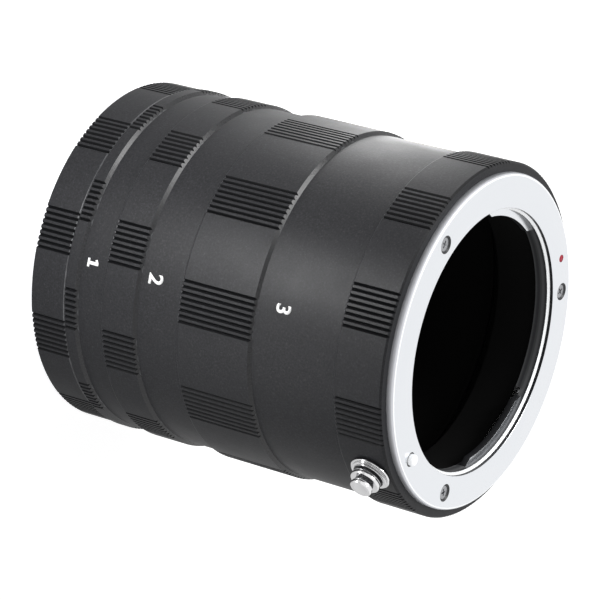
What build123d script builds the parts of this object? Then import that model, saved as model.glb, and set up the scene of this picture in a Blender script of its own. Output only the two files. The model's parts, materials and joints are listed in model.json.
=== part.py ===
from build123d import *

import os
from math import cos, pi, radians, sin

# Macro extension tube: three knurled tubes screwed together between a camera-side ring with a
# male bayonet and a lens-side ring with a female bayonet and its lock.
# Millimetres, +Z along the optical axis towards the lens. The origin is the middle of the
# camera-side seating face. Angles are in degrees about +Z, from +X.

# Barrel
barrel_radius = 27.4
band_recess = 0.55  # how far the smooth numbered bands lie under the knurled ones
bevel_length = 0.4  # slope between a smooth band and its knurled band
tube_lengths = [7.0, 14.0, 28.0]
knurled_lengths = [2.0, 6.0, 12.9]

# Threads between the rings, cut in a socket above and on a spigot below
socket_wall = 1.3
spigot_wall = 1.3
thread_clearance = 0.05
thread_length = 3.2
thread_run_out = 0.4

# Knurling: groups of straight grooves with smooth lands between them
groove_groups = 10
grooves_per_group = 8
groove_pitch = 0.89
groove_width = 0.5
groove_depth = 0.35
camera_ring_angle = 18.4
tube_angles = [6.5, 17.2, 29.9]
lens_ring_angle = 17.4

# Lens-side ring and its bayonet plate
lens_ring_length = 8.1
lens_ring_bevel = 0.28
plate_inset = 1.52  # from the barrel in to the plate's rim
plate_edge = 0.4
plate_thickness = 1.1
face_width = 5.28
throat_depth = 0.85
throat_step = 0.4  # the hub's bore lies this far inside the throat
hub_wall = 1.2
hub_depth = 2.9
web_step = 0.2
web_depth = 9.9

# Bayonet tabs, and the lugs that lock behind them
tab_reach = 1.45
tab_front_depth = 1.4
tab_thickness = 1.0
tab_angles = [(24.4, 67.1), (160.0, 197.4), (273.5, 311.5)]
tab_flare_angle = 3.8  # how much further each end reaches at the wall of the hub
lug_turn_angle = 60.0
lug_span_angle = 46.0
lug_clearance = 0.2
lug_thickness = 1.2
lug_play = 0.5  # room between a tab and the lug behind it

# Camera-side ring and its bayonet
camera_ring_inset = 0.15
camera_ring_length = 6.4
camera_flange_inset = 2.05
camera_flange_thickness = 1.0
camera_flange_proud = 0.2
camera_barrel_wall = 1.25
camera_barrel_length = 4.4
camera_web_step = 0.4

# Fits between pieces that stay together
seat_clearance = 0.05
neck_clearance = 0.15
hole_clearance = 0.03

# Screws
screw_inset = 2.65  # from the plate's rim to the middle of a screw
screw_head_radius = 1.35
screw_head_height = 0.6
screw_shank_radius = 0.7
screw_length = 3.4
camera_screw_length = 2.6
lens_screw_angles = [0.0, 117.6, 238.5]
camera_screw_angles = [30.0, 150.0, 270.0]

# Index dot
dot_radius = 0.6
dot_inset = 2.38
dot_angle = 131.7
dot_depth = 0.25

# Lock
lock_angle = 325.5
lock_travel = 2.0
lock_wall = 2.15  # between the slide's pocket and the outside of the barrel
slide_depth = 3.1
slide_width = 5.2
slide_height = 4.5
slide_clearance = 0.05
pin_radius = 0.95
pin_clearance = 0.15
pin_offset = 0.3  # from the slide's middle towards the axis
pin_proud = 0.9
pin_seat = 2.0
pin_edge = 0.25
stem_radius = 0.8
stem_seat = 0.9
stem_grip = 1.2
knob_depth = 4.6
spring_radius = 0.95
spring_wire = 0.26
spring_turns = 3.5
spring_room = 3.0

# Washer and button, as turned steps of (radius, height) outwards from the barrel
washer_gap = 0.12
washer_steps = [(3.2, 0.3), (2.85, 0.2), (2.5, 0.2)]
knob_steps = [(1.9, 0.45), (2.35, 0.8), (1.3, 0.45), (1.7, 0.85)]
knob_edge = 0.12

# Leaf springs: strips on edge that bow out from the hub's wall under the tabs
leaf_thickness = 0.15
leaf_height = 0.4
leaf_drop = 0.05  # below the back of its tab
leaf_cover = 0.05  # how far the tab covers the bow of its spring
leaf_bow_angle = 13.6  # from the tab's end back to the middle of the bow
leaf_half_angle = 12.6
leaf_foot_angles = (4.4, 7.6)  # from the tab's end to both ends of the foot that is riveted
leaf_foot_height = 0.95
leaf_clearance = 0.02
rivet_radius = 0.25
rivet_head_radius = 0.4
rivet_head = 0.12
rivet_seat = 1.0

# Pin that ends the lens's turn
stop_pin_tab = 1
stop_pin_radius = 0.6
stop_pin_angle_step = 2.6
stop_pin_reach = 1.3
stop_pin_seat = 1.1
stop_pin_depth = 3.65

# Radii that follow from the sizes above
smooth_radius = barrel_radius - band_recess
socket_radius = smooth_radius - socket_wall
thread_radius = socket_radius - thread_clearance
light_bore_radius = thread_radius - spigot_wall
plate_radius = barrel_radius - plate_inset
throat_radius = plate_radius - face_width
hub_bore_radius = throat_radius - throat_step
hub_outer_radius = hub_bore_radius + hub_wall
web_bore_radius = throat_radius + web_step
tab_inner_radius = throat_radius - tab_reach
lug_radius = hub_bore_radius - lug_clearance
camera_ring_radius = barrel_radius - camera_ring_inset
camera_flange_radius = camera_ring_radius - camera_flange_inset
camera_throat_radius = tab_inner_radius - neck_clearance - camera_barrel_wall
camera_web_radius = throat_radius + camera_web_step
screw_circle_radius = plate_radius - screw_inset
dot_circle_radius = plate_radius - dot_inset
slide_outer_radius = barrel_radius - lock_wall
slide_inner_radius = slide_outer_radius - slide_depth
slide_middle = (slide_inner_radius + slide_outer_radius) / 2
lock_circle_radius = slide_middle - pin_offset
leaf_bow_radius = tab_inner_radius + leaf_cover
leaf_foot_radius = hub_bore_radius - leaf_clearance - leaf_thickness

# Heights that follow from the sizes above
camera_ring_top = camera_flange_proud + camera_ring_length
tube_bottoms = [camera_ring_top + sum(tube_lengths[:i]) for i in range(len(tube_lengths))]
lens_ring_bottom = camera_ring_top + sum(tube_lengths)
lens_ring_top = lens_ring_bottom + lens_ring_length
lens_face = lens_ring_top + plate_thickness
socket_depth = thread_length + thread_run_out
tab_back = lens_face - tab_front_depth - tab_thickness
leaf_bottom = tab_back - leaf_drop - leaf_height
knob_height = lens_face - knob_depth
slide_top = lens_ring_top - slide_clearance
slide_bottom = slide_top - slide_height
spring_floor = slide_bottom - spring_room
washer_base = barrel_radius + washer_gap
knob_base = washer_base + sum(height for _, height in washer_steps)


def polar(radius, angle, height=0.0):
    """The point at that radius, angle and height."""
    return (radius * cos(radians(angle)), radius * sin(radians(angle)), height)


def radial_plane(angle, radius, height):
    """The plane square to that radius, facing outwards, with its X along the rim and its Y up."""
    return Plane(origin=polar(radius, angle, height), x_dir=polar(1, angle + 90), z_dir=polar(1, angle))


def turned(*points):
    """Adds a ring turned from its half section, given as (radius, height) points."""
    with BuildSketch(Plane.XZ) as section:
        with BuildLine():
            Polyline(*points, close=True)
        make_face()
    revolve(section.sketch, axis=Axis.Z)


def knurl(radius, first_angle, bottom, top):
    """Cuts the groups of V grooves into a band of that radius, between two heights."""
    step = groove_pitch / radius * 180 / pi
    middle = (grooves_per_group - 1) / 2
    angles = [
        first_angle + group * 360 / groove_groups + (groove - middle) * step
        for group in range(groove_groups)
        for groove in range(grooves_per_group)
    ]
    with BuildSketch(Plane.XY.offset(bottom)) as grooves:
        with Locations(*[Location(polar(radius, angle), (0, 0, angle)) for angle in angles]):
            Polygon((groove_depth, groove_width), (-groove_depth, 0), (groove_depth, -groove_width))
    extrude(grooves.sketch, amount=top - bottom, mode=Mode.SUBTRACT)


def sector(inner, outer, start, end, bottom, height):
    """Adds a flat sector of a ring between two angles."""
    with BuildSketch(Plane.XY.offset(bottom)) as slice_of_ring:
        with BuildLine():
            rim = CenterArc((0, 0), outer, start, end - start)
            bore = CenterArc((0, 0), inner, start, end - start)
            Line(rim @ 0, bore @ 0)
            Line(rim @ 1, bore @ 1)
        make_face()
    extrude(slice_of_ring.sketch, amount=height)


def tab(start, end):
    """Adds a bayonet tab between two angles, wider at its root in the wall of the hub."""
    root_radius = (hub_bore_radius + hub_outer_radius) / 2
    flare = tab_flare_angle * (root_radius - tab_inner_radius) / (hub_bore_radius - tab_inner_radius)
    with BuildSketch(Plane.XY.offset(tab_back)) as outline:
        with BuildLine():
            root = CenterArc((0, 0), root_radius, start - flare, end - start + 2 * flare)
            bore = CenterArc((0, 0), tab_inner_radius, start, end - start)
            Line(root @ 0, bore @ 0)
            Line(root @ 1, bore @ 1)
        make_face()
    extrude(outline.sketch, amount=tab_thickness)


def rivet_plane(tab_end, radius):
    """The plane of a leaf spring's rivet, square to its radius, given the end of the spring's tab."""
    return radial_plane(tab_end + sum(leaf_foot_angles) / 2, radius, leaf_bottom + leaf_foot_height / 2)


def bored(plane, radius, depth):
    """Cuts a round hole of that depth down into the piece, from a plane that faces out of it."""
    with BuildSketch(plane) as mouth:
        Circle(radius)
    extrude(mouth.sketch, amount=-depth, mode=Mode.SUBTRACT)


def head_planes(angles, face, facing):
    """The planes of the screw heads on a face: facing is 1 upwards and -1 downwards."""
    return [
        Plane(origin=polar(screw_circle_radius, angle, face), x_dir=polar(1, angle), z_dir=(0, 0, facing))
        for angle in angles
    ]


def screw_holes(planes, length):
    """Cuts the sunk holes for countersunk screws."""
    for head in planes:
        bored(head, screw_shank_radius + hole_clearance, length + hole_clearance)
        with BuildSketch(head) as rim:
            Circle(screw_head_radius + hole_clearance)
        with BuildSketch(head.offset(-screw_head_height)) as root:
            Circle(screw_shank_radius + hole_clearance)
        loft([rim.sketch, root.sketch], mode=Mode.SUBTRACT)


def screws(planes, length):
    """Adds countersunk screws, their heads level with a face."""
    for head in planes:
        with BuildSketch(head) as rim:
            Circle(screw_head_radius)
        with BuildSketch(head.offset(-screw_head_height)) as root:
            Circle(screw_shank_radius)
        loft([rim.sketch, root.sketch])
        extrude(root.sketch, amount=-(length - screw_head_height))


def turned_steps(plane, steps):
    """Adds a round turning of several steps that stands on a plane."""
    for radius, height in steps:
        with BuildSketch(plane) as step:
            Circle(radius)
        extrude(step.sketch, amount=height)
        plane = plane.offset(height)


def rims(radius):
    """The round edges of that radius on the piece being made, lowest first."""
    round_edges = edges().filter_by(GeomType.CIRCLE)
    return round_edges.filter_by(lambda rim: abs(rim.radius - radius) < 0.001).sort_by(Axis.Z)


os.makedirs("parts", exist_ok=True)
pieces = {}

# Camera-side ring: a threaded socket above and a recess for the bayonet plate below
with BuildPart() as camera_ring:
    recess_radius = camera_flange_radius + seat_clearance
    web_top = camera_ring_top - socket_depth
    turned(
        (recess_radius, camera_flange_proud),
        (camera_ring_radius, camera_flange_proud),
        (camera_ring_radius, camera_ring_top),
        (socket_radius, camera_ring_top),
        (socket_radius, web_top),
        (camera_web_radius, web_top),
        (camera_web_radius, camera_flange_thickness),
        (recess_radius, camera_flange_thickness),
    )
    knurl(camera_ring_radius, camera_ring_angle, camera_flange_proud, camera_ring_top)
    screw_holes(head_planes(camera_screw_angles, 0, -1), camera_screw_length)
pieces["camera_ring"] = camera_ring

# Male bayonet: flange, pilot, neck and three lugs that stand where they lock behind the tabs
with BuildPart() as camera_bayonet:
    pilot_radius = throat_radius - seat_clearance
    pilot_end = -(throat_depth - seat_clearance)
    neck_radius = tab_inner_radius - neck_clearance
    turned(
        (camera_throat_radius, camera_flange_thickness),
        (camera_flange_radius, camera_flange_thickness),
        (camera_flange_radius, 0),
        (pilot_radius, 0),
        (pilot_radius, pilot_end),
        (neck_radius, pilot_end),
        (neck_radius, -camera_barrel_length),
        (camera_throat_radius, -camera_barrel_length),
    )
    lug_bottom = -(tab_front_depth + tab_thickness + lug_play + lug_thickness)
    for number, (_, gap_start) in enumerate(tab_angles, start=1):
        gap_end = tab_angles[number % len(tab_angles)][0] + 360 * (number == len(tab_angles))
        lug_start = (gap_start + gap_end) / 2 + lug_turn_angle - lug_span_angle / 2
        lug_root = (camera_throat_radius + neck_radius) / 2
        sector(lug_root, lug_radius, lug_start, lug_start + lug_span_angle, lug_bottom, lug_thickness)
    lock_notch = Plane(origin=polar(lock_circle_radius, lock_angle), z_dir=(0, 0, -1))
    bored(lock_notch, pin_radius + pin_clearance, camera_flange_thickness)
    screw_holes(head_planes(camera_screw_angles, 0, -1), camera_screw_length)
pieces["camera_bayonet"] = camera_bayonet

with BuildPart() as camera_bayonet_screws:
    screws(head_planes(camera_screw_angles, 0, -1), camera_screw_length)
pieces["camera_bayonet_screws"] = camera_bayonet_screws

# Tubes: a threaded spigot below, a knurled band, a bevel, and a smooth band round a socket
for number, (bottom, length, knurled, turned_by) in enumerate(
    zip(tube_bottoms, tube_lengths, knurled_lengths, tube_angles), start=1
):
    with BuildPart() as tube:
        top = bottom + length
        spigot_end = bottom - thread_length
        turned(
            (light_bore_radius, spigot_end),
            (thread_radius, spigot_end),
            (thread_radius, bottom),
            (barrel_radius, bottom),
            (barrel_radius, bottom + knurled),
            (smooth_radius, bottom + knurled + bevel_length),
            (smooth_radius, top),
            (socket_radius, top),
            (socket_radius, top - socket_depth),
            (light_bore_radius, top - socket_depth),
        )
        knurl(barrel_radius, turned_by, bottom, bottom + knurled + bevel_length)
    pieces[f"tube_{number}"] = tube

# Lens-side ring: spigot below, and a web that holds the lock under the bayonet plate
with BuildPart() as lens_ring:
    spigot_end = lens_ring_bottom - thread_length
    web_bottom = lens_face - web_depth
    counterbore_radius = hub_outer_radius + seat_clearance
    counterbore_floor = lens_face - hub_depth - seat_clearance
    turned(
        (light_bore_radius, spigot_end),
        (thread_radius, spigot_end),
        (thread_radius, lens_ring_bottom),
        (barrel_radius, lens_ring_bottom),
        (barrel_radius, lens_ring_top - lens_ring_bevel),
        (barrel_radius - lens_ring_bevel, lens_ring_top),
        (counterbore_radius, lens_ring_top),
        (counterbore_radius, counterbore_floor),
        (web_bore_radius, counterbore_floor),
        (web_bore_radius, web_bottom),
        (light_bore_radius, web_bottom),
    )
    knurl(barrel_radius, lens_ring_angle, lens_ring_bottom, lens_ring_top)
    screw_holes(head_planes(lens_screw_angles, lens_face, 1), screw_length)
    # Pocket for the slide and its spring
    with BuildSketch(Plane.XY.offset(lens_ring_top)):
        with PolarLocations(slide_middle, 1, start_angle=lock_angle):
            Rectangle(slide_depth + 2 * slide_clearance, slide_width + 2 * slide_clearance)
    extrude(amount=spring_floor - lens_ring_top, mode=Mode.SUBTRACT)
    # Slot that the stem travels in
    slot_width = 2 * (stem_radius + slide_clearance)
    with BuildSketch(radial_plane(lock_angle, slide_middle, knob_height - lock_travel / 2)):
        SlotOverall(slot_width + lock_travel, slot_width, rotation=90)
    extrude(amount=barrel_radius, mode=Mode.SUBTRACT)
    # Seat of the stop pin
    stop_pin_angle = tab_angles[stop_pin_tab][1] + stop_pin_angle_step
    stop_pin_height = lens_face - stop_pin_depth
    stop_pin_end = web_bore_radius + stop_pin_seat
    bored(
        radial_plane(stop_pin_angle, stop_pin_end, stop_pin_height),
        stop_pin_radius + hole_clearance,
        stop_pin_end - hub_bore_radius,
    )
pieces["lens_ring"] = lens_ring

# Female bayonet: plate, hub with three tabs, and the holes in its face
with BuildPart() as lens_bayonet:
    hub_bottom = lens_face - hub_depth
    throat_floor = lens_face - throat_depth
    turned(
        (throat_radius, lens_face),
        (plate_radius, lens_face),
        (plate_radius, lens_ring_top),
        (hub_outer_radius, lens_ring_top),
        (hub_outer_radius, hub_bottom),
        (hub_bore_radius, hub_bottom),
        (hub_bore_radius, throat_floor),
        (throat_radius, throat_floor),
    )
    chamfer(rims(plate_radius)[-1], length=plate_edge)
    for start, end in tab_angles:
        tab(start, end)
    screw_holes(head_planes(lens_screw_angles, lens_face, 1), screw_length)
    pin_hole = Plane(origin=polar(lock_circle_radius, lock_angle, lens_face))
    bored(pin_hole, pin_radius + pin_clearance, plate_thickness)
    dot_recess = Plane(origin=polar(dot_circle_radius, dot_angle, lens_face))
    bored(dot_recess, dot_radius + hole_clearance, dot_depth)
    for _, end in tab_angles:
        bored(rivet_plane(end, hub_outer_radius), rivet_radius + hole_clearance, hub_wall + throat_step)
pieces["lens_bayonet"] = lens_bayonet

with BuildPart() as lens_bayonet_screws:
    screws(head_planes(lens_screw_angles, lens_face, 1), screw_length)
pieces["lens_bayonet_screws"] = lens_bayonet_screws

with BuildPart() as index_dot:
    with BuildSketch(dot_recess.offset(-dot_depth)):
        Circle(dot_radius)
    extrude(amount=dot_depth)
pieces["index_dot"] = index_dot

# Leaf springs: each bows out from the hub's wall under its tab and ends in a riveted foot
for number, (_, end) in enumerate(tab_angles, start=1):
    bow_middle = end - leaf_bow_angle
    bow_start = bow_middle - leaf_half_angle
    bow_end = bow_middle + leaf_half_angle
    foot_start, foot_end = end + leaf_foot_angles[0], end + leaf_foot_angles[1]
    leaf_outer_radius = leaf_foot_radius + leaf_thickness
    with BuildPart() as leaf_spring:
        with BuildSketch(Plane.XY.offset(leaf_bottom)):
            with BuildLine():
                inside = ThreePointArc(
                    polar(leaf_foot_radius, bow_start),
                    polar(leaf_bow_radius, bow_middle),
                    polar(leaf_foot_radius, bow_end),
                )
                outside = ThreePointArc(
                    polar(leaf_outer_radius, bow_start),
                    polar(leaf_bow_radius + leaf_thickness, bow_middle),
                    polar(leaf_outer_radius, bow_end),
                )
                Line(inside @ 0, outside @ 0)
                Line(inside @ 1, outside @ 1)
            make_face()
        extrude(amount=leaf_height)
        sector(leaf_foot_radius, leaf_outer_radius, bow_end, foot_end, leaf_bottom, leaf_height)
        sector(leaf_foot_radius, leaf_outer_radius, foot_start, foot_end, leaf_bottom, leaf_foot_height)
        bored(rivet_plane(end, hub_outer_radius), rivet_radius + hole_clearance, 2 * hub_wall)
    pieces[f"leaf_spring_{number}"] = leaf_spring

with BuildPart() as leaf_spring_rivets:
    for _, end in tab_angles:
        with BuildSketch(rivet_plane(end, leaf_foot_radius - rivet_head)):
            Circle(rivet_head_radius)
        extrude(amount=rivet_head)
        with BuildSketch(rivet_plane(end, leaf_foot_radius)):
            Circle(rivet_radius)
        extrude(amount=rivet_seat)
pieces["leaf_spring_rivets"] = leaf_spring_rivets

with BuildPart() as stop_pin:
    with BuildSketch(radial_plane(stop_pin_angle, web_bore_radius - stop_pin_reach, stop_pin_height)):
        Circle(stop_pin_radius)
    extrude(amount=stop_pin_reach + stop_pin_seat)
pieces["stop_pin"] = stop_pin

# Lock: the pin and the stem are fixed in a slide that a coil spring lifts
with BuildPart() as lock_slide:
    with BuildSketch(Plane.XY.offset(slide_bottom)):
        with PolarLocations(slide_middle, 1, start_angle=lock_angle):
            Rectangle(slide_depth, slide_width)
    extrude(amount=slide_height)
    pin_mouth = Plane(origin=polar(lock_circle_radius, lock_angle, slide_top))
    bored(pin_mouth, pin_radius + hole_clearance, pin_seat)
    stem_mouth = radial_plane(lock_angle, slide_outer_radius, knob_height)
    bored(stem_mouth, stem_radius + hole_clearance, stem_seat)
pieces["lock_slide"] = lock_slide

with BuildPart() as lock_pin:
    with BuildSketch(Plane(origin=polar(lock_circle_radius, lock_angle, slide_top - pin_seat))):
        Circle(pin_radius)
    extrude(amount=lens_face + pin_proud - slide_top + pin_seat)
    chamfer(rims(pin_radius)[-1], length=pin_edge)
pieces["lock_pin"] = lock_pin

with BuildPart() as knob_stem:
    with BuildSketch(radial_plane(lock_angle, slide_outer_radius - stem_seat, knob_height)):
        Circle(stem_radius)
    extrude(amount=knob_base + stem_grip - slide_outer_radius + stem_seat)
pieces["knob_stem"] = knob_stem

with BuildPart() as slot_washer:
    turned_steps(radial_plane(lock_angle, washer_base, knob_height), washer_steps)
    washer_face = radial_plane(lock_angle, knob_base, knob_height)
    bored(washer_face, stem_radius + hole_clearance, knob_base - washer_base)
pieces["slot_washer"] = slot_washer

with BuildPart() as release_knob:
    knob_foot = radial_plane(lock_angle, knob_base, knob_height)
    turned_steps(knob_foot, knob_steps)
    grip_rims = [rim for radius, _ in knob_steps[1::2] for rim in rims(radius)]
    chamfer(grip_rims, length=knob_edge)
    with BuildSketch(knob_foot):
        Circle(stem_radius + hole_clearance)
    extrude(amount=stem_grip, mode=Mode.SUBTRACT)
pieces["release_knob"] = release_knob

with BuildPart() as lock_spring:
    coil_height = spring_room - spring_wire
    coil_foot = polar(slide_middle, lock_angle, spring_floor + spring_wire / 2)
    with BuildLine() as coil:
        Helix(pitch=coil_height / spring_turns, height=coil_height, radius=spring_radius, center=coil_foot)
    with BuildSketch(Plane(origin=coil.line @ 0, z_dir=coil.line % 0)):
        RegularPolygon(radius=spring_wire / 2, side_count=4)
    sweep(is_frenet=True)
pieces["lock_spring"] = lock_spring

for name, piece in pieces.items():
    piece.part.label = name
    export_step(piece.part, f"parts/{name}.step")
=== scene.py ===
import json
from math import cos, degrees, hypot, radians, sin, sqrt

import bmesh
import bpy
from mathutils import Matrix, Vector

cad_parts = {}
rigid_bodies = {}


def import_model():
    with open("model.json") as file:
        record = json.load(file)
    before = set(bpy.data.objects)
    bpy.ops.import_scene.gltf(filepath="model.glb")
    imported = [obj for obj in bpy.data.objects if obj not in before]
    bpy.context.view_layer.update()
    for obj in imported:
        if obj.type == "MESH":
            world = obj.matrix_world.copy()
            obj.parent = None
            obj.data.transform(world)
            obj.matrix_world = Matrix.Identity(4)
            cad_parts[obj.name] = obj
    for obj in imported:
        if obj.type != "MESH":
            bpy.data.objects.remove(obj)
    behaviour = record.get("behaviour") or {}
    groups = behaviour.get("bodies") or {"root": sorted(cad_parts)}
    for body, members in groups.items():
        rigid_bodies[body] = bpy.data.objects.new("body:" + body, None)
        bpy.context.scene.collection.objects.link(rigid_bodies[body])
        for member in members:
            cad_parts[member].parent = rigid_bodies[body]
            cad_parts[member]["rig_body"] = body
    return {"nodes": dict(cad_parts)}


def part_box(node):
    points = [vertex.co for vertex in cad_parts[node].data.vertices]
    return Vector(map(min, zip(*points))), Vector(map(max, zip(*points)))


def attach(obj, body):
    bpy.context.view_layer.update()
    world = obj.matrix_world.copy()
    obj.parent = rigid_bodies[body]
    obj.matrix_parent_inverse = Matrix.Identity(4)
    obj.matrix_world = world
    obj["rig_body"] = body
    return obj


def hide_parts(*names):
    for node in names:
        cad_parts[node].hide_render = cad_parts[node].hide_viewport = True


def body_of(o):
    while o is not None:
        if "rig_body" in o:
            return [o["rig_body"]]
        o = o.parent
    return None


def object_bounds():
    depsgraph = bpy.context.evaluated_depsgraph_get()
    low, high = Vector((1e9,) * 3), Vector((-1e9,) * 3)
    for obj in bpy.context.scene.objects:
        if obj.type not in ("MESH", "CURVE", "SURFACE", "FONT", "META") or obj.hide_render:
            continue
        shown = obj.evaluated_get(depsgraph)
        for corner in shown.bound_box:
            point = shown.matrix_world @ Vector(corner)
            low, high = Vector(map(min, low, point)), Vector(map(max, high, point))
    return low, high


# Macro extension tube set: black anodised tubes between a camera ring and a lens ring, with a
# chromed lens bayonet and a release button. Lengths are in millimetres until they are placed.
mm = 0.001

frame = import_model()
cad_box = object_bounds()
scene = bpy.context.scene

slack = 0.02  # how far a corner may lie off a size and still be taken to be at it
touch = 0.001  # corners about this near to each other are one
cut_touch = 0.00001  # a corner this near to a cut is on it
flat_angle = 0.6  # faces of a solid that turn less than this, in degrees, are one flat face
ring_corner, turned_corner, screw_corner = 40, 35, 30  # edges over these angles stay sharp

# Barrel
smooth_radius = 26.85
bore_radius = 25.0  # what lies nearer the axis than this is blackened against stray light
band_inside, band_outside = 26.5, 27.6  # the bands and slopes lie between these radii
seams = (6.6, 13.6, 27.6, 55.6)  # heights at which one ring meets the next
above_seam, below_seam = 0.26, 0.18  # rounding of the rims on either side of a seam
ring_rims = {  # a ring's rims: height, 1 where the ring lies above it or -1 below, rounding
    "camera_ring": ((0.2, 1, 0.2), (seams[0], -1, 0.22)),
    "tube_1": ((seams[0], 1, above_seam), (seams[1], -1, below_seam)),
    "tube_2": ((seams[1], 1, above_seam), (seams[2], -1, below_seam)),
    "tube_3": ((seams[2], 1, above_seam), (seams[3], -1, below_seam)),
    "lens_ring": ((seams[3], 1, above_seam),),
}
rim_cuts = (0.134, 0.5, 1.0, 1.2)  # where a rim is cut into steps, as shares of its rounding
rim_strip = 0.15  # a sloping strip lower than this belongs to a rim
shoulder_height = 60.0  # from here up the lens ring's slope is as dull as its band

# Which way a face looks: the rise of its normal, and how squarely it faces away from the axis
upright, level, flat = 0.2, 0.97, 0.99
groove_wall = 0.93  # an upright face that turns aside more than this is a groove's

# Silver face
lens_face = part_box("lens_bayonet")[1].z / mm
plate_radius = 25.88
plate_rounding = 0.4
plate_cuts = (0.5, 0.866)  # where the plate's chamfer is cut into steps, as shares of it
side_rise = 0.8  # the plate's round takes the side's painted shade up to this rise of the normal, and the painted highlight above it
throat_radius = 20.6
throat_depth = 0.85
throat_rounding = 0.08
ledge_bevel = 0.28
hub_bore_radius = 20.2
pale_hub_height = 1.6  # the hub's wall is painted less dark, as light on it, for this far below the throat's ledge
bright_depth = 2.0  # lower than this under the silver face the plate is blackened
camera_bore_radius = 17.75

# Screws
screw_circle = 23.23
screw_hole_radius = 1.38
screw_hole_depth = 0.6
screw_clearance = 0.02
screw_sunk = 0.24
screw_shank = 0.7
head_rounding = 0.06
cross_length = 1.15
cross_width = 0.26
cross_depth = 0.3
cross_taper = 0.8
cross_turn = 25  # degrees between the slot and the line to the optical axis
lens_screw_angles = (0.0, 117.6, 238.5)
camera_screw_angles = (30.0, 150.0, 270.0)
screw_sets = (  # node, angles about the axis, face, 1 where the heads look up, length
    ("lens_bayonet_screws", lens_screw_angles, lens_face, 1, 3.4),
    ("camera_bayonet_screws", camera_screw_angles, 0.0, -1, 2.6),
)

# Index dot
dot_circle = 23.5
dot_angle = 131.7

# Printed numbers: figure, body, angle about the axis, lowest point and height
numbers = (
    ("1", "first_tube", 277.9, 9.86, 2.0),
    ("2", "second_tube", 277.7, 21.3, 2.6),
    ("3", "third_tube", 276.2, 44.1, 2.55),
)
print_height = 0.02
print_sunk = 0.01

# Lock
lock_angle = 325.5
knob_height = lens_face - 4.6
washer_base = 27.52
washer_thickness = 0.7
knob_base = washer_base + washer_thickness
pin_circle = 23.4
pin_hole_radius = 1.15
pin_top = lens_face + 0.9


def polar(radius, angle, height):
    """The point at that radius, angle and height, in metres."""
    return Vector((radius * cos(radians(angle)), radius * sin(radians(angle)), height)) * mm


def new_piece(name, form, finishes, body):
    """Makes a piece of the object from a bmesh, in its place on that body."""
    mesh = bpy.data.meshes.new(name)
    form.to_mesh(mesh)
    form.free()
    piece = bpy.data.objects.new(name, mesh)
    scene.collection.objects.link(piece)
    for finish in finishes:
        mesh.materials.append(finish)
    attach(piece, body)
    return piece


def smooth_sides(form, angle):
    """Shades a form smooth apart from its edges over that angle."""
    form.normal_update()
    for face in form.faces:
        face.smooth = True
    for edge in form.edges:
        edge.smooth = edge.calc_face_angle(radians(180)) < radians(angle)


# Materials

noise_low, noise_high = 0.3, 0.7  # most of a noise lies between these


def plain_material(name, color, roughness, metallic=0.0, specular=0.5):
    """A material with its shader's own values set."""
    material = bpy.data.materials.new(name)
    material.use_nodes = True
    shader = material.node_tree.nodes["Principled BSDF"]
    shader.inputs["Base Color"].default_value = (*color, 1)
    shader.inputs["Roughness"].default_value = roughness
    shader.inputs["Metallic"].default_value = metallic
    shader.inputs["Specular IOR Level"].default_value = specular
    return material


def link(material, source, target):
    """Joins two sockets of a material."""
    material.node_tree.links.new(source, target)


def into(material, value, name):
    """Leads a value into that socket of the material's shader."""
    link(material, value, material.node_tree.nodes["Principled BSDF"].inputs[name])


def object_place(material, scale=(1, 1, 1)):
    """Object coordinates, stretched by that scale."""
    nodes = material.node_tree.nodes
    place = nodes.new("ShaderNodeTexCoord")
    mapping = nodes.new("ShaderNodeMapping")
    mapping.inputs["Scale"].default_value = scale
    link(material, place.outputs["Object"], mapping.inputs["Vector"])
    return mapping.outputs["Vector"]


def off_axis_place(material, place):
    """A place that only changes with the distance from the optical axis."""
    nodes = material.node_tree.nodes
    joined = nodes.new("ShaderNodeCombineXYZ")
    level_part = nodes.new("ShaderNodeVectorMath")
    level_part.operation = "MULTIPLY"
    level_part.inputs[1].default_value = (1, 1, 0)
    link(material, place, level_part.inputs[0])
    length = nodes.new("ShaderNodeVectorMath")
    length.operation = "LENGTH"
    link(material, level_part.outputs["Vector"], length.inputs[0])
    link(material, length.outputs["Value"], joined.inputs["X"])
    return joined.outputs["Vector"]


def noise(material, place, scale, detail=2.0, roughness=0.5):
    """A noise over the surface, with that many grains in a metre."""
    grain = material.node_tree.nodes.new("ShaderNodeTexNoise")
    grain.inputs["Scale"].default_value = scale
    grain.inputs["Detail"].default_value = detail
    grain.inputs["Roughness"].default_value = roughness
    link(material, place, grain.inputs["Vector"])
    return grain.outputs["Fac"]


def shades(material, value, *stops):
    """A colour that follows a value through the stops, given as (value, colour)."""
    ramp = material.node_tree.nodes.new("ShaderNodeValToRGB")
    elements = ramp.color_ramp.elements
    while len(elements) < len(stops):
        elements.new(1.0)
    for element, (position, color) in zip(elements, stops):
        element.position = position
        element.color = (*color, 1)
    link(material, value, ramp.inputs["Fac"])
    return ramp.outputs["Color"]


def uneven_gloss(material, cloud, smoothest, roughest):
    """Lets the roughness wander between two values with a noise."""
    stretch = material.node_tree.nodes.new("ShaderNodeMapRange")
    ends = {"From Min": noise_low, "From Max": noise_high, "To Min": smoothest, "To Max": roughest}
    for name, number in ends.items():
        stretch.inputs[name].default_value = number
    link(material, cloud, stretch.inputs["Value"])
    into(material, stretch.outputs["Result"], "Roughness")


def bump(material, value, strength, depth, under=None):
    """Raises and sinks the surface by a value, over an earlier bump if there is one."""
    relief = material.node_tree.nodes.new("ShaderNodeBump")
    relief.inputs["Strength"].default_value = strength
    relief.inputs["Distance"].default_value = depth * mm
    link(material, value, relief.inputs["Height"])
    if under is not None:
        link(material, under, relief.inputs["Normal"])
    return relief.outputs["Normal"]


def grainy(material, grain, strength, depth):
    """Gives the surface one fine relief."""
    into(material, bump(material, grain, strength, depth), "Normal")


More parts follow.
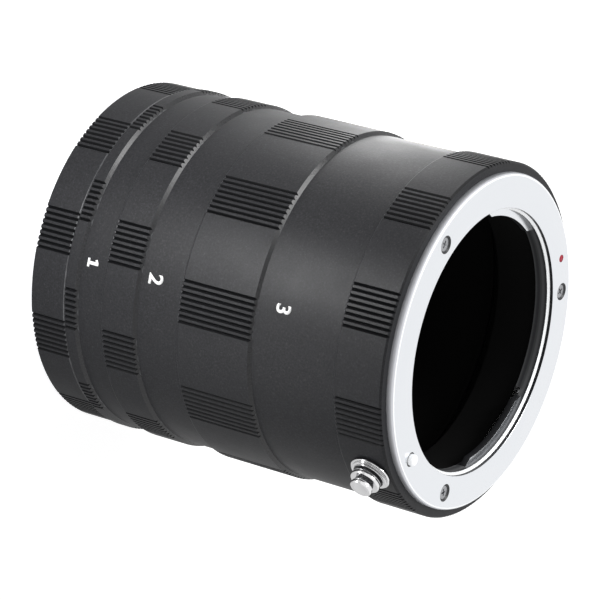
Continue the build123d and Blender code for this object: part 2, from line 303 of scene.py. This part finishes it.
def black_anodising(name, specular, roughness):
    """Blasted and anodised aluminium: a fine even grain with paler wear specks."""
    material = plain_material(name, (0.012, 0.012, 0.013), roughness, specular=specular)
    place = object_place(material)
    cloud = noise(material, place, 160, 3.0, 0.6)
    grain = noise(material, place, 3600, 2.0, 0.6)
    blast = noise(material, place, 1900, 3.0, 0.6)
    dark, mid, pale = (0.012, 0.0122, 0.0138), (0.02, 0.0204, 0.0228), (0.04, 0.041, 0.045)
    speckle = shades(material, grain, (0.35, dark), (0.62, mid), (0.8, pale))
    into(material, speckle, "Base Color")
    uneven_gloss(material, cloud, roughness - 0.03, roughness + 0.03)
    relief = bump(material, grain, 0.35, 0.03)
    into(material, bump(material, blast, 0.25, 0.05, relief), "Normal")
    return material


def shaded_groove_anodising():
    """The anodising on the walls of the knurling, painted darker as shade in the grooves."""
    material = plain_material("groove_painted_shade", (0.007, 0.0072, 0.008), 0.5, specular=0.08)
    place = object_place(material)
    grainy(material, noise(material, place, 3600, 2.0, 0.6), 0.35, 0.03)
    return material


def worn_and_highlit_anodising():
    """The anodising on the rims, rubbed paler by handling and painted paler still as a highlight
    along their edges.
    """
    material = plain_material("worn_and_highlit_anodising", (0.05, 0.051, 0.054), 0.36, specular=0.35)
    place = object_place(material)
    rub = noise(material, place, 420, 3.0, 0.65)
    dark, pale = (0.022, 0.0225, 0.025), (0.085, 0.087, 0.092)
    into(material, shades(material, rub, (0.3, dark), (0.6, pale)), "Base Color")
    grainy(material, noise(material, place, 3600, 2.0, 0.6), 0.3, 0.03)
    return material


def light_trap_black():
    """Dull black paint inside the tubes."""
    material = plain_material("light_trap_black", (0.004, 0.004, 0.004), 0.85, specular=0.15)
    place = object_place(material)
    grainy(material, noise(material, place, 2500, 2.0), 0.3, 0.03)
    return material


def satin_chrome(name, color, roughness):
    """Chrome over turned brass: fine rings about the optical axis."""
    material = plain_material(name, color, roughness, metallic=1.0)
    place = object_place(material)
    rings = noise(material, off_axis_place(material, place), 9000, 3.0, 0.7)
    cloud = noise(material, place, 220, 3.0, 0.6)
    grain = noise(material, place, 5000, 2.0, 0.6)
    uneven_gloss(material, cloud, roughness - 0.03, roughness + 0.03)
    relief = bump(material, rings, 0.1, 0.003)
    into(material, bump(material, grain, 0.06, 0.004, relief), "Normal")
    return material


def dark_brass_and_shade(name, dark, pale):
    """Dark brass in the given tones, with fine turning marks one above the other."""
    material = plain_material(name, pale, 0.38, specular=0.4)
    place = object_place(material, (0, 0, 1))
    turning = noise(material, place, 1400, 1.0, 0.5)
    into(material, shades(material, turning, (0.42, dark), (0.6, pale)), "Base Color")
    grainy(material, turning, 0.3, 0.05)
    return material


def bright_chrome():
    """Polished chrome on the button and its washer."""
    material = plain_material("bright_chrome", (0.82, 0.82, 0.83), 0.08, metallic=1.0)
    place = object_place(material)
    uneven_gloss(material, noise(material, place, 1500, 3.0), 0.05, 0.14)
    grainy(material, noise(material, place, 2600, 2.0), 0.12, 0.01)
    return material


def screw_steel():
    """Steel of the screws, the rivets, the stop pin and the stud."""
    material = plain_material("screw_steel", (0.36, 0.365, 0.38), 0.25, metallic=1.0)
    place = object_place(material)
    uneven_gloss(material, noise(material, place, 2500, 3.0), 0.2, 0.36)
    grainy(material, noise(material, place, 4000, 2.0), 0.2, 0.01)
    return material


def spring_steel():
    """Steel of the leaf springs and the coil."""
    material = plain_material("spring_steel", (0.6, 0.6, 0.6), 0.22, metallic=1.0)
    place = object_place(material)
    uneven_gloss(material, noise(material, place, 1800, 3.0), 0.16, 0.3)
    return material


def slide_brass():
    """Bare brass, rubbed along the slide's travel."""
    material = plain_material("slide_brass", (0.62, 0.47, 0.2), 0.3, metallic=1.0)
    place = object_place(material, (1, 1, 12))
    uneven_gloss(material, noise(material, place, 900, 3.0), 0.24, 0.4)
    return material


def red_paint():
    """Red paint of the index dot."""
    material = plain_material("red_paint", (0.5, 0.008, 0.035), 0.3, specular=0.25)
    place = object_place(material)
    grain = noise(material, place, 2500, 2.0)
    dark, pale = (0.42, 0.004, 0.025), (0.6, 0.012, 0.05)
    into(material, shades(material, grain, (0.3, dark), (0.7, pale)), "Base Color")
    grainy(material, grain, 0.2, 0.01)
    return material


def white_print():
    """White ink of the numbers."""
    material = plain_material("white_print", (0.86, 0.86, 0.86), 0.5)
    place = object_place(material)
    grain = noise(material, place, 4200, 2.0)
    thin, full = (0.7, 0.7, 0.7), (0.88, 0.88, 0.88)
    into(material, shades(material, grain, (0.25, thin), (0.5, full)), "Base Color")
    return material


black = black_anodising("black_anodising", 0.18, 0.44)
slope_black = black_anodising("slope_anodising", 0.42, 0.28)
groove_painted_shade = shaded_groove_anodising()
trap = light_trap_black()
worn_and_highlit = worn_and_highlit_anodising()
chrome = satin_chrome("satin_chrome", (0.82, 0.84, 0.87), 0.2)
shaded_side_chrome = satin_chrome("shaded_side_chrome", (0.66, 0.67, 0.7), 0.46)
highlight_chrome = satin_chrome("highlight_chrome", (0.96, 0.97, 0.98), 0.62)
# Blackened inside below the silver face and down the bores, and painted shade in the plate's holes,
# on the throat's wall and in the button's necks.
blackened_and_shade = dark_brass_and_shade("dark_brass_and_shade", (0.022, 0.023, 0.026), (0.05, 0.051, 0.055))
lit_hub_brass = dark_brass_and_shade("lit_hub_brass", (0.09, 0.092, 0.098), (0.24, 0.243, 0.25))
polished = bright_chrome()
steel = screw_steel()
spring = spring_steel()
brass = slide_brass()
red = red_paint()
white = white_print()


# Pieces that keep their solid's form


def merged_copy(node):
    """A bmesh of a solid with its loose triangles joined and its flat faces made whole."""
    form = bmesh.new()
    form.from_mesh(frame["nodes"][node].data)
    bmesh.ops.remove_doubles(form, verts=form.verts, dist=2 * touch * mm)
    turn = radians(flat_angle)
    bmesh.ops.dissolve_limit(form, angle_limit=turn, verts=form.verts, edges=form.edges)
    return form


def off_axis_of(v):
    """A corner's distance from the optical axis, in millimetres."""
    return hypot(v.co.x, v.co.y) / mm


def cut_level(form, height):
    """Cuts every face that crosses that height."""
    geometry = form.verts[:] + form.edges[:] + form.faces[:]
    middle = (0, 0, height * mm)
    bmesh.ops.bisect_plane(
        form, geom=geometry, dist=cut_touch * mm, plane_co=middle, plane_no=(0, 0, 1)
    )


def round_rim(form, height, into_piece, rounding, nearest, farthest, outwards=-1):
    """Rounds a rim between two radii: outwards is -1 for an outer rim and 1 for a bore's."""
    for share in rim_cuts:
        cut_level(form, height + into_piece * rounding * share)
    for v in form.verts:
        depth = (v.co.z / mm - height) * into_piece
        radius = off_axis_of(v)
        if -touch < depth < rounding and nearest < radius < farthest:
            drop = rounding - sqrt(max(rounding**2 - (rounding - depth) ** 2, 0))
            v.co.xy *= (radius + outwards * drop) / radius


def dressed(node, form, finishes, finish_of, corner=ring_corner):
    """Puts a finished form in the place of its solid; finish_of picks each face's finish."""
    smooth_sides(form, corner)
    for face in form.faces:
        face.material_index = finishes.index(finish_of(face))
    body = body_of(frame["nodes"][node])[0]
    piece = new_piece(f"{node}_finished", form, finishes, body)
    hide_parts(node)


def ring_finish(face):
    """Black outside, smoother on the slopes, paler on the rims as wear and painted highlight,
    painted shade on the groove walls, and a light trap inside.
    """
    reach = [off_axis_of(v) for v in face.verts]
    if max(reach) < bore_radius:
        return trap
    if min(reach) < band_inside:
        return black
    outwards = (face.calc_center_median() * Vector((1, 1, 0))).normalized()
    # painted shade: the walls of the knurling's grooves take a darker black
    if abs(face.normal.z) < upright and face.normal.dot(outwards) < groove_wall:
        return groove_painted_shade
    heights = [v.co.z / mm for v in face.verts]
    if not upright < face.normal.z < level or min(heights) > shoulder_height:
        return black
    # the rims' narrow strips take the paler anodising: wear and a painted highlight along the edge
    return worn_and_highlit if max(heights) - min(heights) < rim_strip else slope_black


ring_finishes = (black, trap, worn_and_highlit, slope_black, groove_painted_shade)
for ring, rims in ring_rims.items():
    form = merged_copy(ring)
    for height, into_piece, rounding in rims:
        round_rim(form, height, into_piece, rounding, band_inside, band_outside)
    dressed(ring, form, ring_finishes, ring_finish)


def in_plate_hole(place):
    """Tells whether a place is in the pin's hole or a screw's."""
    holes = [(pin_circle, lock_angle, pin_hole_radius)]
    holes += [(screw_circle, angle, screw_hole_radius) for angle in lens_screw_angles]
    return any(
        (place.xy - polar(circle, angle, 0).xy / mm).length < radius + slack
        for circle, angle, radius in holes
    )


def lens_plate_finish(face):
    """Bright on top, with painted shade round the side, in the holes and on the throat's wall, a
    painted highlight on the upper round and the ledge, a paler painted band on the hub, and dark
    below.
    """
    center = face.calc_center_median() / mm
    depth = lens_face - center.z
    reach = [off_axis_of(v) for v in face.verts]
    rise = face.normal.z
    # painted shade in the holes of the pin and the screws
    if rise < flat and in_plate_hole(center):
        return blackened_and_shade
    # painted shade round the plate's side, and a painted highlight on the round above it
    if min(reach) > plate_radius - plate_rounding - slack and -upright < rise < flat:
        return shaded_side_chrome if rise < side_rise else highlight_chrome
    if max(reach) < throat_radius + throat_rounding + slack:
        below_ledge = depth - throat_depth
        # painted light: a paler band on the hub's wall below the ledge
        if min(reach) > hub_bore_radius - slack and slack < below_ledge < pale_hub_height:
            return lit_hub_brass
        # painted shade on the throat's wall, and dark below the silver face
        if depth > bright_depth or rise < upright:
            return blackened_and_shade
        # painted highlight on the throat's ledge and its bevel
        if min(reach) > hub_bore_radius - slack and depth > throat_depth - ledge_bevel:
            return highlight_chrome
        return chrome
    return blackened_and_shade if depth > bright_depth else chrome


def round_plate_rim(form):
    """Turns the chamfer round the silver face into a round."""
    start = lens_face - plate_rounding
    inside = plate_radius - plate_rounding
    for share in plate_cuts:
        cut_level(form, start + plate_rounding * share)
    for v in form.verts:
        rise = v.co.z / mm - start
        radius = off_axis_of(v)
        if radius > inside - slack and slack < rise < plate_rounding - slack:
            v.co.xy *= (inside + sqrt(plate_rounding**2 - rise**2)) / radius


def in_ledge_corner(v):
    """Tells whether a corner is where the throat's wall meets its ledge."""
    depth = lens_face - v.co.z / mm
    return abs(off_axis_of(v) - throat_radius) < slack and abs(depth - throat_depth) < slack


form = merged_copy("lens_bayonet")
corner = [edge for edge in form.edges if all(in_ledge_corner(v) for v in edge.verts)]
bmesh.ops.bevel(
    form, geom=corner, offset=ledge_bevel * mm, affect="EDGES", segments=1, profile=0.5, material=-1
)
round_plate_rim(form)
throat_edge = (throat_radius - slack, throat_radius + slack)
round_rim(form, lens_face, -1, throat_rounding, *throat_edge, outwards=1)
plate_finishes = (chrome, blackened_and_shade, shaded_side_chrome, highlight_chrome, lit_hub_brass)
dressed("lens_bayonet", form, plate_finishes, lens_plate_finish)


def camera_plate_finish(face):
    """Chrome outside and dark down the bore."""
    in_bore = max(off_axis_of(v) for v in face.verts) < camera_bore_radius + slack
    return blackened_and_shade if in_bore and abs(face.normal.z) < upright else chrome


form = merged_copy("camera_bayonet")
dressed("camera_bayonet", form, (chrome, blackened_and_shade), camera_plate_finish)


# Turned pieces


def spun(profile, foot, axis, steps=64):
    """A closed turning from its half outline, points of (radius, height along the axis)."""
    form = bmesh.new()
    across = axis.orthogonal().normalized()
    points = [form.verts.new(foot + (across * x + axis * y) * mm) for x, y in profile]
    outline = [form.edges.new(pair) for pair in zip(points, points[1:])]
    bmesh.ops.spin(
        form,
        geom=points + outline,
        cent=foot,
        axis=axis,
        angle=radians(360),
        steps=steps,
        use_merge=True,
    )
    bmesh.ops.remove_doubles(form, verts=form.verts, dist=touch * mm)
    bmesh.ops.recalc_face_normals(form, faces=form.faces[:])
    return form


def joined(forms):
    """One bmesh of several."""
    whole = bmesh.new()
    for form in forms:
        part = bpy.data.meshes.new("part")
        form.to_mesh(part)
        form.free()
        whole.from_mesh(part)
        bpy.data.meshes.remove(part)
    return whole


def to_radius(radius):
    """A way to bring each corner of a loop to that distance from the middle."""
    return lambda place: place * (radius * mm / place.length)


def drawn_out(form, edges, levels):
    """Draws a loop of edges through levels, each a new outline and its height, and closes it."""
    for outline, height in levels:
        walls = bmesh.ops.extrude_edge_only(form, edges=edges)["geom"]
        moved = [v for v in walls if isinstance(v, bmesh.types.BMVert)]
        edges = [edge for edge in walls if isinstance(edge, bmesh.types.BMEdge)]
        edges = [edge for edge in edges if all(v in moved for v in edge.verts)]
        for v in moved:
            v.co.xy = outline(v.co.xy)
            v.co.z = height * mm
    bmesh.ops.triangle_fill(form, use_beauty=True, edges=edges)


def screw_form(angle, face_height, facing, length):
    """A countersunk screw with a cross slot, its head sunk a little in its hole."""
    form = bmesh.new()
    slope = (screw_hole_radius - screw_shank) / screw_hole_depth
    head_radius = screw_hole_radius - slope * screw_sunk - screw_clearance
    flat_radius = head_radius - head_rounding
    bmesh.ops.create_circle(form, segments=32, radius=flat_radius * mm)
    arm, half = cross_length / 2, cross_width / 2
    corners = [(half, half), (half, arm), (-half, arm), (-half, half), (-arm, half), (-arm, -half)]
    corners += [(-x, -y) for x, y in corners]
    slot = [form.verts.new((x * mm, y * mm, 0)) for x, y in corners]
    for pair in zip(slot, slot[1:] + slot[:1]):
        form.edges.new(pair)
    rim = [edge for edge in form.edges if not any(v in slot for v in edge.verts)]
    cross = [edge for edge in form.edges if edge not in rim]
    bmesh.ops.triangle_fill(form, use_beauty=True, edges=form.edges[:])
    drawn_out(form, cross, [(lambda place: place * cross_taper, -cross_depth)])
    drawn_out(form, rim, [
        (to_radius(head_radius), -head_rounding),
        (to_radius(screw_shank), screw_sunk - screw_hole_depth),
        (to_radius(screw_shank), screw_sunk - length),
    ])
    bmesh.ops.recalc_face_normals(form, faces=form.faces[:])
    turn = Matrix.Rotation(radians(angle + cross_turn), 4, "Z")
    tip = Matrix.Rotation(0 if facing > 0 else radians(180), 4, "X")
    sink = Matrix.Translation((0, 0, -screw_sunk * mm))
    place = Matrix.Translation(polar(screw_circle, angle, face_height))
    bmesh.ops.transform(form, matrix=place @ turn @ tip @ sink, verts=form.verts)
    return form


for node, angles, face_height, facing, length in screw_sets:
    form = joined([screw_form(angle, face_height, facing, length) for angle in angles])
    dressed(node, form, (steel,), lambda face: steel, screw_corner)

# Half outlines of the turned pieces, as distance from their own axis and height along it
button_axis = polar(1, lock_angle, 0).normalized()
knob_profile = [
    (0, 0), (1.84, 0), (1.9, 0.06), (1.9, 0.4), (2.0, 0.45), (2.25, 0.45), (2.33, 0.52),
    (2.35, 0.62), (2.28, 0.7), (2.28, 0.78), (2.35, 0.84), (2.35, 1.05), (2.33, 1.16),
    (2.24, 1.25), (1.5, 1.25), (1.36, 1.29), (1.3, 1.36), (1.3, 1.6), (1.38, 1.68), (1.58, 1.71),
    (1.67, 1.79), (1.7, 1.9), (1.7, 2.3), (1.67, 2.42), (1.58, 2.5), (1.2, 2.53), (1.12, 2.5),
    (1.05, 2.53), (0, 2.55),
]
washer_profile = [
    (0.83, 0), (3.12, 0), (3.2, 0.08), (3.2, 0.22), (3.12, 0.3), (2.9, 0.3), (2.85, 0.34),
    (2.85, 0.45), (2.8, 0.5), (2.56, 0.5), (2.5, 0.54), (2.5, 0.65), (2.45, washer_thickness),
    (0.83, washer_thickness), (0.83, 0),
]
pin_profile = [
    (0, -4.05), (0.9, -4.05), (0.9, -0.4), (0.87, -0.25), (0.78, -0.13), (0.62, -0.05),
    (0.4, -0.01), (0, 0),
]
dot_profile = [(0, -0.25), (0.56, -0.25), (0.56, -0.08), (0.5, -0.03), (0.3, -0.005), (0, 0)]

# Where the button's necks take painted shade: nearest and farthest from its axis, lowest and
# highest above its foot
shaded_necks = ((0, 1.95, -1, 0.45), (0, 1.45, 1.27, 1.7), (2.2, 2.34, 0.66, 0.83))
washer_step_reach = 2.86  # the walls of the washer's steps are nearer its axis than this


def button_finish(face):
    """Painted shade in the necks of the button and on the walls of the washer's steps."""
    reach = face.calc_center_median() - polar(0, lock_angle, knob_height)
    along = reach.dot(button_axis) / mm - knob_base
    off = (reach - reach.dot(button_axis) * button_axis).length / mm
    if any(near < off < far and low < along < high for near, far, low, high in shaded_necks):
        return blackened_and_shade
    step_wall = off < washer_step_reach and abs(face.normal.dot(button_axis)) < upright
    return blackened_and_shade if step_wall and along < -slack else polished


for node, profile, foot in (
    ("release_knob", knob_profile, knob_base),
    ("slot_washer", washer_profile, washer_base),
):
    form = spun(profile, polar(foot, lock_angle, knob_height), button_axis)
    finishes = (polished, blackened_and_shade)
    dressed(node, form, finishes, button_finish, turned_corner)

upwards = Vector((0, 0, 1))
pin = spun(pin_profile, polar(pin_circle, lock_angle, pin_top), upwards)
# The lock pin takes the chrome painted pale as a highlight.
dressed("lock_pin", pin, (highlight_chrome,), lambda face: highlight_chrome, turned_corner)
dot = spun(dot_profile, polar(dot_circle, dot_angle, lens_face), upwards)
dressed("index_dot", dot, (red,), lambda face: red, turned_corner)

plain_nodes = {
    "leaf_spring_1": spring,
    "leaf_spring_2": spring,
    "leaf_spring_3": spring,
    "leaf_spring_rivets": steel,
    "stop_pin": steel,
    "lock_slide": brass,
    "knob_stem": steel,
    "lock_spring": spring,
}
for node, finish in plain_nodes.items():
    mesh = frame["nodes"][node].data
    mesh.materials.clear()
    mesh.materials.append(finish)


# Printed numbers


one_outline = (  # a 1 with a flag and a foot, 1 high
    (-0.33, 0), (0.33, 0), (0.33, 0.19), (0.13, 0.19), (0.13, 1), (-0.06, 1), (-0.33, 0.86),
    (-0.27, 0.68), (-0.12, 0.75), (-0.12, 0.19), (-0.33, 0.19),
)


def number_one():
    """A flat 1 from its outline."""
    form = bmesh.new()
    corners = [form.verts.new((x, y, 0)) for x, y in one_outline]
    outline = [form.edges.new(pair) for pair in zip(corners, corners[1:] + corners[:1])]
    bmesh.ops.triangle_fill(form, use_beauty=True, edges=outline)
    return form


def written_number(figure):
    """A flat figure in a plain typeface, a little bolder than it is written."""
    writing = bpy.data.curves.new(f"number_{figure}", "FONT")
    writing.body = figure
    writing.align_x = "CENTER"
    writing.offset = 0.02
    writing.resolution_u = 6
    board = bpy.data.objects.new(f"number_{figure}_board", writing)
    flat_figure = bpy.data.meshes.new_from_object(board)
    form = bmesh.new()
    form.from_mesh(flat_figure)
    bpy.data.objects.remove(board)
    bpy.data.curves.remove(writing)
    bpy.data.meshes.remove(flat_figure)
    bmesh.ops.remove_doubles(form, verts=form.verts, dist=0.0001)
    return form


def printed_number(figure, body, angle, low, height):
    """A white figure printed round the smooth band of a tube."""
    form = number_one() if figure == "1" else written_number(figure)
    foot = min(v.co.y for v in form.verts)
    size = height / (max(v.co.y for v in form.verts) - foot)
    middle = (min(v.co.x for v in form.verts) + max(v.co.x for v in form.verts)) / 2
    for v in form.verts:
        turn = degrees((v.co.x - middle) * size / smooth_radius)
        v.co = polar(smooth_radius + print_height, angle + turn, low + (v.co.y - foot) * size)
    walls = bmesh.ops.extrude_face_region(form, geom=form.faces[:])
    for v in walls["geom"]:
        if isinstance(v, bmesh.types.BMVert):
            outwards = Vector((v.co.x, v.co.y, 0)).normalized()
            v.co -= outwards * (print_height + print_sunk) * mm
    bmesh.ops.recalc_face_normals(form, faces=form.faces[:])
    new_piece(f"number_{figure}", form, (white,), body)


for figure, body, angle, low, height in numbers:
    printed_number(figure, body, angle, low, height)


# Camera, as the photograph was taken

camera = bpy.data.objects.new("camera", bpy.data.cameras.new("camera"))
camera.data.sensor_width = 36
camera.data.lens = 189.97
camera.data.clip_start = 0.01
camera.matrix_world = Matrix((
    (-0.2586, -0.9660, 0.0, 0.00098),
    (0.4913, -0.1315, -0.8610, -0.4219),
    (0.8317, -0.2226, 0.5086, 0.2811),
    (0, 0, 0, 1),
))
scene.collection.objects.link(camera)
scene.camera = camera


# Floor, surroundings and lamps

floor_reach = 3  # metres to each side
paper_white = 0.8
paper_glow, paper_glow_in_gloss = 0.75, 0.3
room_light, white_ground = 0.35, 1.0
near_lamps = (  # small lamps near the floor round the barrel: azimuth, distance, power in watts
    (120, 88, 0.017), (140, 88, 0.007), (160, 88, 0.02), (180, 88, 0.014), (200, 105, 0.008),
    (260, 105, 0.1), (280, 105, 0.012), (300, 105, 0.012), (320, 105, 0.008),
)


def seen_rays(tree, in_gloss):
    """1 for what the camera sees, and that share for what gloss and glass show."""
    nodes = tree.nodes
    ray = nodes.new("ShaderNodeLightPath")
    seen = ray.outputs["Is Camera Ray"]
    for name in ("Is Glossy Ray", "Is Transmission Ray"):
        share = nodes.new("ShaderNodeMath")
        share.operation = "MULTIPLY"
        share.inputs[1].default_value = in_gloss
        tree.links.new(ray.outputs[name], share.inputs[0])
        either = nodes.new("ShaderNodeMath")
        either.operation = "MAXIMUM"
        tree.links.new(seen, either.inputs[0])
        tree.links.new(share.outputs["Value"], either.inputs[1])
        seen = either.outputs["Value"]
    return seen


floor_form = bmesh.new()
bmesh.ops.create_grid(floor_form, x_segments=1, y_segments=1, size=floor_reach)
bmesh.ops.translate(floor_form, verts=floor_form.verts, vec=(0, 0, cad_box[0].z))
floor_mesh = bpy.data.meshes.new("floor")
floor_form.to_mesh(floor_mesh)
floor_form.free()
floor = bpy.data.objects.new("floor", floor_mesh)
scene.collection.objects.link(floor)
paper = plain_material("floor_paper", (paper_white,) * 3, 0.9, specular=0.0)
tree = paper.node_tree
paper_shader = tree.nodes["Principled BSDF"]
paper_shader.inputs["Emission Color"].default_value = (1, 1, 1, 1)
lift = tree.nodes.new("ShaderNodeMath")
lift.operation = "MULTIPLY"
lift.inputs[1].default_value = paper_glow
tree.links.new(seen_rays(tree, paper_glow_in_gloss), lift.inputs[0])
tree.links.new(lift.outputs["Value"], paper_shader.inputs["Emission Strength"])
floor.data.materials.append(paper)

world = bpy.data.worlds.new("studio")
scene.world = world
world.use_nodes = True
sky = world.node_tree
background = sky.nodes["Background"]
background.inputs["Color"].default_value = (1, 1, 1, 1)
glow = sky.nodes.new("ShaderNodeMapRange")
glow.inputs["To Min"].default_value = room_light
glow.inputs["To Max"].default_value = white_ground
sky.links.new(seen_rays(sky, 1.0), glow.inputs["Value"])
sky.links.new(glow.outputs["Result"], background.inputs["Strength"])


def softbox(name, place, power, width, height, aim_height):
    """A rectangular lamp that faces the optical axis at that height."""
    lamp = bpy.data.lights.new(name, "AREA")
    lamp.shape = "RECTANGLE"
    lamp.size = width * mm
    lamp.size_y = height * mm
    lamp.energy = power
    holder = bpy.data.objects.new(name, lamp)
    holder.location = place
    facing = place - polar(0, 0, aim_height)
    holder.rotation_euler = facing.to_track_quat("Z", "Y").to_euler()
    scene.collection.objects.link(holder)


for azimuth, distance, power in near_lamps:
    place = polar(distance, azimuth, 0)
    softbox(f"strip_{azimuth}", place, power, width=50, height=20, aim_height=40)
softbox("high_softbox", polar(430, 180, 690), 2.8, width=300, height=300, aim_height=30)

scene.view_settings.view_transform = "Standard"
